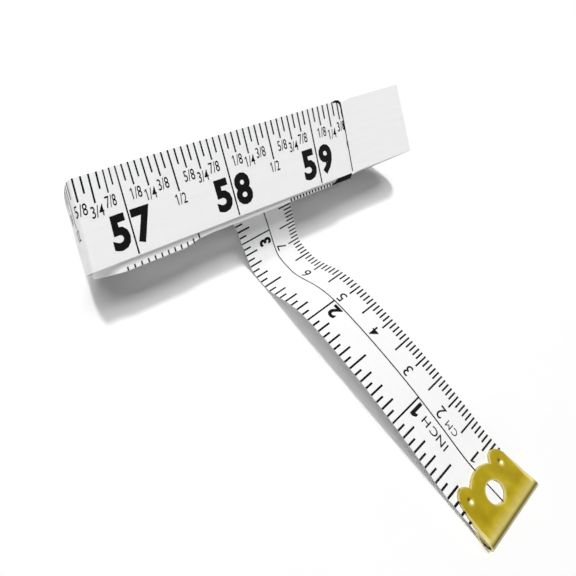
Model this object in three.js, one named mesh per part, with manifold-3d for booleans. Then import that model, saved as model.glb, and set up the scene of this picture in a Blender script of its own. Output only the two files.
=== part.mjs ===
import * as THREE from 'three';
import { mergeVertices } from 'three/addons/utils/BufferGeometryUtils.js';
import Module from 'manifold-3d';

// Cloth tape measure, wound flat, with its zero end drawn out of the middle to one side.
// Millimetres, +Z up. The origin is the middle of the winding's underside, X runs along the
// winding and the tail leaves towards -Y.

// Tape
const tapeWidth = 18;
const tapeThickness = 0.3;

// Winding
const windingLength = 102;
const turnCount = 7;
const coreHalfHeight = 1.9;
const layerGap = 0.45;
const endSlack = 0.75;
const leanAngle = THREE.MathUtils.degToRad(34);
const endSlant = 2;
const slantSharpness = 6;
const sideSlip = 0.48;
const edgeScatter = 0.2;
const scatterStep = 2.4;

// The turn under the outer one has slipped out on the near side, left and right of the tail
const slipReach = 1.7;
const slipEndX = -26.5;
const sideSlipReach = 1;
const sideSlipFromX = 2.5;
const sideSlipToX = 20.5;
const slipFade = 4;

// Steps of the strip
const stepsPerRun = 16;
const stepsPerBend = 12;
const uprightSpan = Math.PI / stepsPerBend;
const gapRefinement = 4;

// Outer end, the last stretch of the top run, which peels up in short pieces
const outerEndFromRight = 29.4;
const flapCount = 3;
const flapLength = 16;
const flapSteps = 4;

// Inner fold, which turns the zero end out of the winding
const foldX = -3.7;
const foldRadius = 0.42;
const foldSteps = 8;
const foldLeafStart = 9.5;
const leafSteps = 6;
const tailSkew = THREE.MathUtils.degToRad(5.2);

// Tail, from the winding's near edge to the brass end: distance out, height of the tape's middle
const tailRootLength = 7;
const tailPieceLength = 11;
const tailPieceCount = 6;
const tailSteps = 5;
const twistLength = 12;
const exitStraight = 3;
const tailRest = [
  [9.6, 1.3], [12.2, 0.42], [14.8, 0.32], [17.4, 0.55], [20, 1.7], [22.6, 3.1], [26, 4.2], [31, 4.6],
  [40, 4.4], [50, 3.6], [60, 2.2],
];
const tailReach = 78.6;

// Brass end
const brassSheet = 0.4;
const brassClearance = 0.3;
const brassOverhang = 0.7;
const brassLength = 10;
const lobeDepth = 1;
const lobeCount = 3;
const holeDiameter = 4.4;
const holeFromEnd = 5.1;
const dimpleRadius = 1.3;
const dimpleDepth = 0.22;
const dimpleFromEnd = 7.9;
const dimpleInset = 3.2;
const roundSegments = 24;

// Gap left between the pieces of the strip where it bends
const pieceGap = 0.3;

// Sizes that follow from those above
const lowerPitch = tapeThickness + layerGap;
const upperPitch = lowerPitch / (Math.cos(leanAngle) + sideSlip * Math.sin(leanAngle));
const outerTurn = turnCount - 0.5;
const straightHalf = windingLength / 2 - tapeThickness / 2 - lowerHeight(outerTurn);
const coreHeight = lowerHeight(outerTurn) + tapeThickness / 2;
const lowerNear = -tapeWidth / 2;
const outerEndX = windingLength / 2 - outerEndFromRight;
const flapStartX = outerEndX - flapCount * flapLength;
const brassHalfThickness = tapeThickness / 2 + brassClearance + brassSheet;

function upperHeight(turn) {
  return coreHalfHeight + turn * upperPitch;
}

function lowerHeight(turn) {
  return coreHalfHeight + turn * lowerPitch;
}

// Half-length of a turn's straight runs: inner turns fall short of the outer ones at both ends.
function runHalf(turn) {
  return straightHalf - endSlack * Math.max(outerTurn - turn, 0);
}

// One closed strip: rows of two edge points along its middle surface, thickened both ways.
function stripGeometry(rows, thickness = tapeThickness) {
  const last = rows.length - 1;
  const positions = [];
  rows.forEach(([near, far], i) => {
    const along = middle(rows[Math.min(i + 1, last)]).sub(middle(rows[Math.max(i - 1, 0)]));
    const normal = along.cross(far.clone().sub(near)).normalize();
    for (const side of [1, -1]) {
      for (const edge of [near, far]) {
        positions.push(...edge.clone().addScaledVector(normal, side * thickness / 2).toArray());
      }
    }
  });
  const faces = [];
  const quad = (a, b, c, d) => faces.push(a, b, c, a, c, d);
  for (let i = 0; i < last; i += 1) {
    const a = 4 * i;
    const b = a + 4;
    quad(a, b, b + 1, a + 1);
    quad(a + 3, b + 3, b + 2, a + 2);
    quad(a + 2, b + 2, b, a);
    quad(a + 1, b + 1, b + 3, a + 3);
  }
  quad(0, 1, 3, 2);
  quad(4 * last + 2, 4 * last + 3, 4 * last + 1, 4 * last);
  const geometry = new THREE.BufferGeometry();
  geometry.setAttribute('position', new THREE.Float32BufferAttribute(positions, 3));
  geometry.setIndex(faces);
  geometry.computeVertexNormals();
  return geometry;
}

function middle([near, far]) {
  return near.clone().lerp(far, 0.5);
}

// Winding: a flat spiral that opens by half a pitch in each bend, so its runs stay level along X.
// A station is a place along it, with angle +90 degrees on the top runs and -90 on the lower ones.
function topStation(x, turn) {
  return { x, angle: Math.PI / 2, turn, topTurn: turn, bottomTurn: turn };
}

function bottomStation(x, turn) {
  return { x, angle: -Math.PI / 2, turn, topTurn: turn, bottomTurn: turn };
}

function bendStation(side, angle, topTurn, bottomTurn) {
  const turn = THREE.MathUtils.mapLinear(angle, -Math.PI / 2, Math.PI / 2, bottomTurn, topTurn);
  const x = side * (runHalf(turn) + lowerHeight(turn) * Math.cos(angle));
  return { x, angle, turn, topTurn, bottomTurn };
}

// How far a turn's edges lie in from where they would be in an even stack, along its own width:
// a little scatter, and one turn that has slipped out.
function edgeShift(station) {
  const { smoothstep } = THREE.MathUtils;
  const scatter = edgeScatter * Math.sin(scatterStep * station.turn) * (1 - station.turn / turnCount);
  const atLeft = 1 - smoothstep(station.x, slipEndX - slipFade / 2, slipEndX + slipFade / 2);
  const atRight = smoothstep(station.x, sideSlipFromX, sideSlipFromX + slipFade)
    * (1 - smoothstep(station.x, sideSlipToX - slipFade, sideSlipToX));
  const slipped = Math.max(0, 1 - 2 * Math.abs(station.turn - (turnCount - 1)));
  return scatter - slipped * (slipReach * atLeft + sideSlipReach * atRight);
}

// Height in a bend that is round at its top and foot and upright between them.
function bendHeight(station, top, bottom) {
  const radius = Math.min(lowerHeight(station.turn), (top - bottom) / 2);
  const upright = THREE.MathUtils.clamp(station.angle / uprightSpan, -1, 1);
  return (top + bottom) / 2 + radius * Math.sin(station.angle) + ((top - bottom) / 2 - radius) * upright;
}

// Point of the winding's middle surface, with across from 0 at the near edge to 1 at the far one.
// Each upper run leans back and each lower run lies flat, so the loops stand open at the far side.
// The near side is undercut: the edges step back evenly towards the table.
function windingPoint(station, across) {
  const top = coreHeight + upperHeight(station.topTurn);
  const bottom = coreHeight - lowerHeight(station.bottomTurn);
  const onTop = station.angle === Math.PI / 2;
  const onBottom = station.angle === -Math.PI / 2;
  const rise = tapeWidth * Math.sin(leanAngle);
  const heightAt = (crest) => {
    if (onTop) return crest;
    return onBottom ? bottom : bendHeight(station, crest, bottom);
  };
  const nearZ = heightAt(top);
  const climb = heightAt(top + rise) - nearZ;
  const endShare = Math.min(Math.abs(station.x) / straightHalf, 1) ** slantSharpness;
  const slant = -Math.sign(station.x) * endSlant * endShare;
  const depth = Math.sqrt(tapeWidth ** 2 - climb ** 2 - slant ** 2);
  const nearY = lowerNear - sideSlip * (nearZ - tapeThickness / 2);
  const reach = across + edgeShift(station) / tapeWidth;
  return new THREE.Vector3(station.x + slant * reach, nearY + depth * reach, nearZ + climb * reach);
}

function windingStations(refinement = 1) {
  const stations = [];
  const straight = (from, to, make) => {
    const steps = stepsPerRun * refinement;
    for (let i = 0; i <= steps; i += 1) {
      stations.push(make(THREE.MathUtils.lerp(from, to, i / steps)));
    }
  };
  const bend = (side, from, topTurn, bottomTurn) => {
    const steps = stepsPerBend * refinement;
    for (let i = 1; i < steps; i += 1) {
      stations.push(bendStation(side, from * (1 - 2 * i / steps), topTurn, bottomTurn));
    }
  };
  for (let turn = 0; turn < turnCount; turn += 1) {
    const start = turn === 0 ? foldLeafStart : -runHalf(turn);
    const lowerHalf = runHalf(turn + 0.5);
    straight(start, runHalf(turn), (x) => topStation(x, turn));
    bend(1, Math.PI / 2, turn, turn + 0.5);
    straight(lowerHalf, -lowerHalf, (x) => bottomStation(x, turn + 0.5));
    bend(-1, -Math.PI / 2, turn + 1, turn + 0.5);
  }
  straight(-runHalf(turnCount), flapStartX - pieceGap / 2, (x) => topStation(x, turnCount));
  return stations;
}

const stationRow = (station) => [windingPoint(station, 0), windingPoint(station, 1)];

// Least clear distance of the strip to itself, from points at the near edge, middle and far edge of
// each row to the other rows. Places closer than nearbyLength on the unrolled strip are neighbours.
function leastGap(rows, nearbyLength) {
  const runs = [0, 0.5, 1].map((across) => {
    let run = 0;
    return rows.map(([near, far], i) => {
      if (i > 0) {
        const [nearBefore, farBefore] = rows[i - 1];
        run += near.clone().lerp(far, across).distanceTo(nearBefore.clone().lerp(farBefore, across));
      }
      return run;
    });
  });
  const lines = rows.map(([near, far]) => new THREE.Line3(near, far));
  const closest = new THREE.Vector3();
  let least = Infinity;
  [0, 0.5, 1].forEach((across, column) => lines.forEach((line, i) => {
    const point = line.at(across, new THREE.Vector3());
    lines.forEach((other, j) => {
      const share = other.closestPointToPointParameter(point, true);
      const clear = other.at(share, closest).distanceTo(point);
      const unrolled = Math.hypot(runs[column][i] - runs[column][j], (across - share) * tapeWidth);
      if (clear < least && unrolled > nearbyLength) least = clear;
    });
  }));
  return least - tapeThickness;
}

// Outer end: pieces of the last top run, each bending up from the one before.
function flapGeometry(index) {
  const from = flapStartX + index * flapLength + pieceGap / 2;
  const to = flapStartX + (index + 1) * flapLength - (index + 1 < flapCount ? pieceGap / 2 : 0);
  const rows = [];
  for (let i = 0; i <= flapSteps; i += 1) {
    const x = THREE.MathUtils.lerp(from, to, i / flapSteps);
    rows.push(stationRow(topStation(x, turnCount)));
  }
  return stripGeometry(rows);
}

// Inner fold: the innermost top run turns under itself on a slanting crease and heads for -Y.
const leafX = new THREE.Vector3(1, 0, 0);
const leafY = new THREE.Vector3(0, Math.cos(leanAngle), Math.sin(leanAngle));
const leafZ = new THREE.Vector3(0, -Math.sin(leanAngle), Math.cos(leanAngle));
const leafOrigin = windingPoint(topStation(foldX, 0), 0);
const creaseAngle = Math.PI / 4 + tailSkew / 2;

function foldPoint(along, across) {
  const v = (across - 0.5) * tapeWidth;
  const inFromCrease = along * Math.sin(creaseAngle) - v * Math.cos(creaseAngle);
  const onCrease = along * Math.cos(creaseAngle) + v * Math.sin(creaseAngle);
  const past = Math.max(-inFromCrease, 0);
  const turned = Math.min(past / foldRadius, Math.PI);
  const beyond = past - turned * foldRadius;
  const out = Math.max(inFromCrease, 0) - foldRadius * Math.sin(turned) + beyond;
  const drop = foldRadius * (1 - Math.cos(turned));
  return leafOrigin.clone()
    .addScaledVector(leafX, out * Math.sin(creaseAngle) + onCrease * Math.cos(creaseAngle))
    .addScaledVector(leafY, tapeWidth / 2 - out * Math.cos(creaseAngle) + onCrease * Math.sin(creaseAngle))
    .addScaledVector(leafZ, -drop);
}

// A row of the fold, square to the strip with slope 0 or along the crease with slope 1.
function foldRow(along, slope) {
  const shift = slope * tapeWidth / 2 / Math.tan(creaseAngle);
  return [foldPoint(along - shift, 0), foldPoint(along + shift, 1)];
}

// Tail: a level-sided strip along a profile curve, easing out of the fold's lean.
const exitAlong = -(tapeWidth / 2 / Math.cos(tailSkew) + Math.PI * foldRadius);
const exitRow = foldRow(exitAlong, 0);
const exitPoint = middle(exitRow);
const exitAcross = exitRow[1].clone().sub(exitRow[0]).normalize();
const exitHeading = exitPoint.clone().sub(foldPoint(exitAlong + exitStraight, 0.5)).normalize();
const tailHeading = new THREE.Vector3(exitHeading.x, exitHeading.y, 0).normalize();
const levelAcross = new THREE.Vector3(-tailHeading.y, tailHeading.x, 0);
const exitDrop = -exitHeading.z / Math.hypot(exitHeading.x, exitHeading.y);
const exitTwist = Math.atan2(
  levelAcross.clone().cross(exitAcross).dot(exitHeading),
  levelAcross.dot(exitAcross),
);
const tailProfile = new THREE.SplineCurve([
  new THREE.Vector2(0, exitPoint.z),
  new THREE.Vector2(exitStraight, exitPoint.z - exitStraight * exitDrop),
  ...tailRest.map(([out, height]) => new THREE.Vector2(out, height)),
  new THREE.Vector2(tailReach - brassLength, brassHalfThickness),
  new THREE.Vector2(tailReach, brassHalfThickness),
]);
tailProfile.arcLengthDivisions = 600;
const tailLength = tailProfile.getLength();

// Frame of the tail at a distance from the winding's near edge.
function tailFrame(distance) {
  const at = Math.min(distance / tailLength, 1);
  const place = tailProfile.getPointAt(at);
  const slope = tailProfile.getTangentAt(at);
  const point = exitPoint.clone().addScaledVector(tailHeading, place.x);
  point.z = place.y;
  const along = tailHeading.clone().multiplyScalar(slope.x);
  along.z = slope.y;
  const easing = 1 - THREE.MathUtils.smoothstep(distance, 0, twistLength);
  const across = levelAcross.clone().applyAxisAngle(along, exitTwist * easing);
  return { point, along, across };
}

function tailRow(distance) {
  const { point, across } = tailFrame(distance);
  return [-0.5, 0.5].map((share) => point.clone().addScaledVector(across, share * tapeWidth));
}

function tailRows(from, to, steps) {
  return Array.from({ length: steps + 1 }, (_, i) => tailRow(THREE.MathUtils.lerp(from, to, i / steps)));
}

// Rows from the tail's first bend back through the fold to where the winding begins.
function foldRows(refinement = 1) {
  const rows = [];
  const leaf = leafSteps * refinement;
  const crease = foldSteps * refinement;
  const creaseLength = Math.PI * foldRadius / Math.sin(creaseAngle);
  for (let i = 0; i < leaf; i += 1) {
    rows.push(foldRow((foldLeafStart - foldX) * (1 - i / leaf), i / leaf));
  }
  for (let i = 0; i <= crease; i += 1) {
    rows.push(foldRow(-creaseLength * i / crease, 1));
  }
  for (let i = 1; i < leaf; i += 1) {
    rows.push(foldRow(THREE.MathUtils.lerp(-creaseLength, exitAlong, i / leaf), 1 - i / leaf));
  }
  rows.push(...tailRows(0, tailRootLength - pieceGap / 2, tailSteps * refinement));
  return rows.reverse();
}

// The winding is one unbroken strip: the tail's root, the fold and every loop.
function windingRows(refinement = 1) {
  return [...foldRows(refinement).slice(0, -1), ...windingStations(refinement).map(stationRow)];
}

const tailHinge = (index) => tailRootLength + index * tailPieceLength;
const tapeEnd = tailLength - (brassHalfThickness - tapeThickness / 2);

function tailGeometry(index) {
  const isLast = index + 1 === tailPieceCount;
  const to = isLast ? tapeEnd : tailHinge(index + 1) - pieceGap / 2;
  return stripGeometry(tailRows(tailHinge(index) + pieceGap / 2, to, tailSteps));
}

// Brass end: one sheet bent over the tape, with a scalloped edge, a round hole in the upper leaf
// and a crimp dimple in each outer lobe. Built flat: X across, Y from the end towards the tape.
const wasm = await Module();
wasm.setup();

function toSolid(geometry) {
  const bare = geometry.index ? geometry.toNonIndexed() : geometry.clone();
  bare.deleteAttribute('normal');
  bare.deleteAttribute('uv');
  const merged = mergeVertices(bare, 1e-4);
  return new wasm.Manifold(new wasm.Mesh({
    numProp: 3,
    vertProperties: new Float32Array(merged.attributes.position.array),
    triVerts: new Uint32Array(merged.index.array),
  }));
}

function toGeometry(solid) {
  const mesh = solid.getMesh();
  const geometry = new THREE.BufferGeometry();
  geometry.setAttribute('position', new THREE.Float32BufferAttribute(mesh.vertProperties, 3));
  geometry.setIndex(Array.from(mesh.triVerts));
  geometry.computeVertexNormals();
  return geometry;
}

function brassGeometry() {
  const width = tapeWidth + 2 * brassOverhang;
  const outer = brassHalfThickness;
  const inner = outer - brassSheet;
  const bendY = outer;

  const section = new THREE.Shape();
  section.moveTo(brassLength, outer);
  section.lineTo(bendY, outer);
  section.absarc(bendY, 0, outer, Math.PI / 2, 3 * Math.PI / 2, false);
  section.lineTo(brassLength, -outer);
  section.lineTo(brassLength, -inner);
  section.lineTo(bendY, -inner);
  section.absarc(bendY, 0, inner, 3 * Math.PI / 2, Math.PI / 2, true);
  section.lineTo(brassLength, inner);
  const sheet = new THREE.ExtrudeGeometry(section, { depth: width, bevelEnabled: false, curveSegments: roundSegments });
  sheet.applyMatrix4(new THREE.Matrix4().set(0, 0, 1, -width / 2, 1, 0, 0, 0, 0, 1, 0, 0, 0, 0, 0, 1));

  const lobeWidth = width / lobeCount;
  const shoulder = brassLength - lobeDepth;
  const outline = new THREE.Shape();
  outline.moveTo(-width / 2, -1);
  outline.lineTo(width / 2, -1);
  outline.lineTo(width / 2, shoulder);
  for (let i = 0; i < lobeCount; i += 1) {
    outline.absellipse(
      width / 2 - (i + 0.5) * lobeWidth, shoulder, lobeWidth / 2, lobeDepth, 0, Math.PI, false, 0,
    );
  }
  const crown = new THREE.ExtrudeGeometry(outline, { depth: 4 * outer, bevelEnabled: false, curveSegments: roundSegments / 2 });
  crown.translate(0, 0, -2 * outer);

  const hole = new THREE.CylinderGeometry(holeDiameter / 2, holeDiameter / 2, 2 * outer, roundSegments);
  hole.rotateX(Math.PI / 2);
  hole.translate(0, holeFromEnd, outer);

  let solid = toSolid(sheet).intersect(toSolid(crown)).subtract(toSolid(hole));
  for (const side of [-1, 1]) {
    const dimple = new THREE.SphereGeometry(dimpleRadius, roundSegments, roundSegments / 2);
    dimple.rotateX(Math.PI / 2);
    dimple.translate(side * (width / 2 - dimpleInset), dimpleFromEnd, outer + dimpleRadius - dimpleDepth);
    solid = solid.subtract(toSolid(dimple));
  }
  return toGeometry(solid);
}

// Materials
const tapeColour = 0xf2f2f0;
const brassColour = 0xb59a2c;

function tapeMaterial() {
  return new THREE.MeshStandardMaterial({ color: tapeColour, roughness: 0.55, metalness: 0 });
}

function brassMaterial() {
  return new THREE.MeshStandardMaterial({ color: brassColour, roughness: 0.35, metalness: 1 });
}

// Assembly
const tapeMeasure = new THREE.Group();

function addPiece(name, geometry, material) {
  const mesh = new THREE.Mesh(geometry, material);
  mesh.name = name;
  tapeMeasure.add(mesh);
  return mesh;
}

addPiece('tape_winding', stripGeometry(windingRows()), tapeMaterial());
for (let i = 0; i < flapCount; i += 1) {
  addPiece(`outer_end_${i + 1}`, flapGeometry(i), tapeMaterial());
}
for (let i = 0; i < tailPieceCount; i += 1) {
  addPiece(`tail_${i + 1}`, tailGeometry(i), tapeMaterial());
}

const brassEnd = addPiece('brass_end', brassGeometry(), brassMaterial());
const { point: endPoint, along: endAlong, across: endAcross } = tailFrame(tailLength);
const endUp = endAcross.clone().cross(endAlong.clone().negate());
brassEnd.applyMatrix4(
  new THREE.Matrix4().makeBasis(endAcross, endAlong.clone().negate(), endUp).setPosition(endPoint),
);

// Facts that the joints and the print rely on
const inches = (mm) => (mm / 25.4).toFixed(2);
const fineRows = windingRows(gapRefinement);
const runLength = (rows, place) => rows.slice(1).reduce((sum, row, i) => (
  sum + place(row).distanceTo(place(rows[i]))
), 0);
const outerStretch = flapCount * flapLength;
const tailStretch = tailLength - tailRootLength;
const tapeTotal = (place) => runLength(fineRows, place) + outerStretch + tailStretch;
console.log(`least gap of the strip to itself ${leastGap(fineRows, 3 * Math.PI * foldRadius).toFixed(3)} mm`);
console.log('near edge, middle, far edge of the whole tape, in:',
  [(row) => row[0], middle, (row) => row[1]].map((place) => inches(tapeTotal(place))).join(' '));
const lowest = Math.min(...tailProfile.getSpacedPoints(400).map((place) => place.y));
console.log(`tail ${tailLength.toFixed(2)} mm, clear of the table by ${(lowest - tapeThickness / 2).toFixed(2)} mm`);
for (let i = 0; i < tailPieceCount; i += 1) {
  const { point, across } = tailFrame(tailHinge(i));
  console.log(`tail bend ${i + 1}`, point.toArray().map((n) => n.toFixed(4)).join(' '),
    across.toArray().map((n) => n.toFixed(5)).join(' '));
}
for (let i = 0; i < flapCount; i += 1) {
  const [near, far] = stationRow(topStation(flapStartX + i * flapLength, turnCount));
  console.log(`outer bend ${i + 1}`, middle([near, far]).toArray().map((n) => n.toFixed(4)).join(' '),
    far.clone().sub(near).normalize().toArray().map((n) => n.toFixed(5)).join(' '));
}

export default tapeMeasure;
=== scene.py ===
import math

import bmesh
import bpy
import numpy as np
from mathutils import Matrix


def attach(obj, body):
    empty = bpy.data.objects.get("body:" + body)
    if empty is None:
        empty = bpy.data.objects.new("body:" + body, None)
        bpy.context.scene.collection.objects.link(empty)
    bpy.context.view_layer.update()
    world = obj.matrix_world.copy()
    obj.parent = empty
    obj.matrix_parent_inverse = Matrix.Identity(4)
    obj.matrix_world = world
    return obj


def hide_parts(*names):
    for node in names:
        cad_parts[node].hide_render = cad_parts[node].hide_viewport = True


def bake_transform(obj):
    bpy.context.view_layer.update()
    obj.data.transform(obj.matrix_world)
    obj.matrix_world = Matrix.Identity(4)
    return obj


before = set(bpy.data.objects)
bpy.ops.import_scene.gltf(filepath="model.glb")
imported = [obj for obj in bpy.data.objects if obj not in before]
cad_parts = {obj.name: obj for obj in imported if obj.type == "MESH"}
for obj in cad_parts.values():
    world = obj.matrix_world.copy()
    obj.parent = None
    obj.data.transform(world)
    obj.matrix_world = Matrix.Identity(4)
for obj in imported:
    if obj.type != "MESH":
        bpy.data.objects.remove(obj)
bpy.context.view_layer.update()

# Sizes of the tape and its winding, in millimetres
WIDTH, THICK = 18.0, 0.3
LENGTH, TURNS, CORE, LAYER_GAP, END_SLACK = 102.0, 7, 1.9, 0.45, 0.75
LEAN = math.radians(34)
SLANT, SLANT_SHARP, SIDE_SLIP = 2.0, 6, 0.48
SCATTER, SCATTER_STEP = 0.2, 2.4
SLIP_LEFT, SLIP_LEFT_END, SLIP_FADE = 2.2, -26.5, 4.0
SLIP_RIGHT, SLIP_RIGHT_TO, SLIP_RIGHT_FADE = 1.2, 22.4, 1.4
OUTER_BEND_REACH = 1.3
UPRIGHT = math.pi / 12
FLAP_START, FLAP_LENGTH, FLAP_COUNT, OUTER_END = -26.4, 16.0, 3, 21.6
FOLD_X, FOLD_RADIUS, LEAF_START = -3.7, 0.42, 9.5
SKEW = math.radians(5.2)
ROOT, TAIL_PIECE, TAIL_COUNT, TWIST_LENGTH, STRAIGHT, REACH = 7.0, 11.0, 6, 12.0, 3.0, 78.6
REST = [
    (9.6, 1.3), (12.2, 0.42), (14.8, 0.32), (17.4, 0.55), (20, 1.7), (22.6, 3.1), (26, 4.2), (31, 4.6),
    (40, 4.4), (50, 3.6), (60, 2.2),
]
BRASS_LENGTH, BRASS_HALF = 10.0, THICK / 2 + 0.3 + 0.4
INCH = 25.4
OUTER_END_READING, FIRST_OUTER_READING = 59.43, 56.3
INK_LIFT, CUT_MARGIN = 0.025, 0.03
MM = 0.001

# Rows of the meshes, the stretch that bends at a hinge, and the steps that slopes are taken over
RUN_STEPS, BEND_STEPS, TOP_STEPS, FOLD_STEPS, CREASE_STEPS = 24, 24, 14, 6, 12
PROFILE_STEPS, BEND_SAMPLES, BEND_START, ROW_STEP = 2400, 200, 1e-4, 0.5
BEND_HALF = 2.5
SLOPE_STEP, INK_STEP = 0.1, 0.05
SHARP_ANGLE = math.radians(50)

LOW = THICK + LAYER_GAP
UP = LOW / (math.cos(LEAN) + SIDE_SLIP * math.sin(LEAN))


def lower(turn):
    return CORE + turn * LOW


def upper(turn):
    return CORE + turn * UP


HALF = LENGTH / 2 - THICK / 2 - lower(TURNS - 0.5)
CENTRE = lower(TURNS - 0.5) + THICK / 2
TOP_LEFT = -(HALF + lower(TURNS) - OUTER_BEND_REACH)


def run_half(turn):
    return HALF - END_SLACK * max(TURNS - 0.5 - turn, 0)


def unit(v):
    return v / np.linalg.norm(v)


def run_along(points):
    """Distance of each point from the first one, measured along the row of points."""
    return np.concatenate([[0], np.cumsum(np.linalg.norm(np.diff(points, axis=0), axis=1))])


def smoothstep(x, low, high):
    q = min(max((x - low) / (high - low), 0), 1)
    return q * q * (3 - 2 * q)


def edge_shift(x, turn):
    """How far a turn's edges lie in along its width: a little scatter, and one turn that has slipped out."""
    scatter = SCATTER * math.sin(SCATTER_STEP * turn) * (1 - turn / TURNS)
    left = 1 - smoothstep(x, SLIP_LEFT_END - SLIP_FADE / 2, SLIP_LEFT_END + SLIP_FADE / 2)
    right = (1 - left) * (1 - smoothstep(x, SLIP_RIGHT_TO - SLIP_RIGHT_FADE, SLIP_RIGHT_TO))
    slipped = max(0, 1 - 2 * abs(turn - (TURNS - 1)))
    return scatter - slipped * (SLIP_LEFT * left + SLIP_RIGHT * right)


# The winding's middle surface. A station is (x, angle, turn, top turn, bottom turn).
def winding_point(station, across):
    x, angle, turn, top_turn, bottom_turn = station
    top, bottom = CENTRE + upper(top_turn), CENTRE - lower(bottom_turn)

    def height(crest):
        if angle == math.pi / 2:
            return crest
        if angle == -math.pi / 2:
            return bottom
        r = min(lower(turn), (crest - bottom) / 2)
        upright = max(-1, min(1, angle / UPRIGHT))
        return (crest + bottom) / 2 + r * math.sin(angle) + ((crest - bottom) / 2 - r) * upright

    z = height(top)
    climb = height(top + WIDTH * math.sin(LEAN)) - z
    slant = -np.sign(x) * SLANT * min(abs(x) / HALF, 1) ** SLANT_SHARP
    depth = math.sqrt(WIDTH**2 - climb**2 - slant**2)
    near = -WIDTH / 2 - SIDE_SLIP * (z - THICK / 2)
    reach = across + edge_shift(x, turn) / WIDTH
    return np.array([x + slant * reach, near + depth * reach, z + climb * reach])


def top_station(x, turn=TURNS):
    return (x, math.pi / 2, turn, turn, turn)


def low_station(x, turn):
    return (x, -math.pi / 2, turn, turn, turn)


def bend_station(side, angle, top_turn, bottom_turn):
    turn = bottom_turn + (top_turn - bottom_turn) * (angle / math.pi + 0.5)
    out = lower(turn) * math.cos(angle)
    if top_turn == TURNS and angle > 0:
        out = lower(turn) - OUTER_BEND_REACH * (1 - math.cos(angle))
    return (side * (run_half(turn) + out), angle, turn, top_turn, bottom_turn)


def winding_stations(end_x):
    stations = []
    down = np.linspace(math.pi / 2, -math.pi / 2, BEND_STEPS + 1)[1:-1]
    for turn in range(TURNS):
        start = LEAF_START if turn == 0 else -run_half(turn)
        low_half = run_half(turn + 0.5)
        stations += [top_station(x, turn) for x in np.linspace(start, run_half(turn), RUN_STEPS + 1)]
        stations += [bend_station(1, a, turn, turn + 0.5) for a in down]
        stations += [low_station(x, turn + 0.5) for x in np.linspace(low_half, -low_half, RUN_STEPS + 1)]
        stations += [bend_station(-1, -a, turn + 1, turn + 0.5) for a in down]
    return stations + [top_station(x) for x in np.linspace(TOP_LEFT, end_x, TOP_STEPS + 1)]


# The inner fold, a slanting crease that turns the zero end out to the side
LEAF_Y = np.array([0, math.cos(LEAN), math.sin(LEAN)])
LEAF_Z = np.array([0, -math.sin(LEAN), math.cos(LEAN)])
LEAF_X = np.array([1.0, 0, 0])
LEAF_ORIGIN = winding_point(top_station(FOLD_X, 0), 0)
CREASE = math.pi / 4 + SKEW / 2


def fold_point(along, across):
    v = (across - 0.5) * WIDTH
    s, c = math.sin(CREASE), math.cos(CREASE)
    inward, on = along * s - v * c, along * c + v * s
    past = max(-inward, 0)
    turned = min(past / FOLD_RADIUS, math.pi)
    out = max(inward, 0) - FOLD_RADIUS * math.sin(turned) + past - turned * FOLD_RADIUS
    drop = FOLD_RADIUS * (1 - math.cos(turned))
    return LEAF_ORIGIN + LEAF_X * (out * s + on * c) + LEAF_Y * (WIDTH / 2 - out * c + on * s) - LEAF_Z * drop


def fold_row(along, slope, columns):
    shift = slope * WIDTH / math.tan(CREASE)
    return [fold_point(along + shift * (c - 0.5), c) for c in columns]


# The tail, along a profile from the winding's near edge to the brass end
EXIT_AT = -(WIDTH / 2 / math.cos(SKEW) + math.pi * FOLD_RADIUS)
EXIT = (fold_point(EXIT_AT, 0) + fold_point(EXIT_AT, 1)) / 2
EXIT_ACROSS = unit(fold_point(EXIT_AT, 1) - fold_point(EXIT_AT, 0))
EXIT_HEADING = unit(EXIT - fold_point(EXIT_AT + STRAIGHT, 0.5))
HEADING = unit(np.array([EXIT_HEADING[0], EXIT_HEADING[1], 0]))
LEVEL = np.array([-HEADING[1], HEADING[0], 0])
EXIT_DROP = -EXIT_HEADING[2] / math.hypot(EXIT_HEADING[0], EXIT_HEADING[1])
EXIT_TWIST = math.atan2(np.cross(LEVEL, EXIT_ACROSS) @ EXIT_HEADING, LEVEL @ EXIT_ACROSS)
KNOTS = np.array(
    [(0, EXIT[2]), (STRAIGHT, EXIT[2] - STRAIGHT * EXIT_DROP)]
    + REST
    + [(REACH - BRASS_LENGTH, BRASS_HALF), (REACH, BRASS_HALF)]
)


def profile_point(t):
    last = len(KNOTS) - 1
    i = min(int(t * last), last - 1)
    u = t * last - i
    p0, p1, p2, p3 = KNOTS[max(i - 1, 0)], KNOTS[i], KNOTS[i + 1], KNOTS[min(i + 2, last)]
    v0, v1 = (p2 - p0) / 2, (p3 - p1) / 2
    return (2 * p1 - 2 * p2 + v0 + v1) * u**3 + (-3 * p1 + 3 * p2 - 2 * v0 - v1) * u**2 + v0 * u + p1


PROFILE = np.array([profile_point(t) for t in np.linspace(0, 1, PROFILE_STEPS + 1)])
PROFILE_RUN = run_along(PROFILE)
TAIL = PROFILE_RUN[-1]
TAPE_END = TAIL - (BRASS_HALF - THICK / 2)


def tail_frame(distance):
    def place(d):
        return np.array([np.interp(d, PROFILE_RUN, PROFILE[:, k]) for k in (0, 1)])

    low, high = max(distance - SLOPE_STEP, 0), min(distance + SLOPE_STEP, TAIL)
    slope = unit(place(high) - place(low))
    at = place(distance)
    point = EXIT + HEADING * at[0]
    point[2] = at[1]
    along = HEADING * slope[0] + np.array([0, 0, slope[1]])
    q = min(max(distance / TWIST_LENGTH, 0), 1)
    twist = EXIT_TWIST * (1 - q * q * (3 - 2 * q))
    across = LEVEL * math.cos(twist) + np.cross(along, LEVEL) * math.sin(twist)
    return point, along, across


def tail_point(distance, across):
    point, _, side = tail_frame(distance)
    return point + side * (across - 0.5) * WIDTH


# Meshes. A strip is a grid of rows and columns on the middle surface, thickened both ways.
COLUMNS = np.linspace(0, 1, 5)


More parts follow.
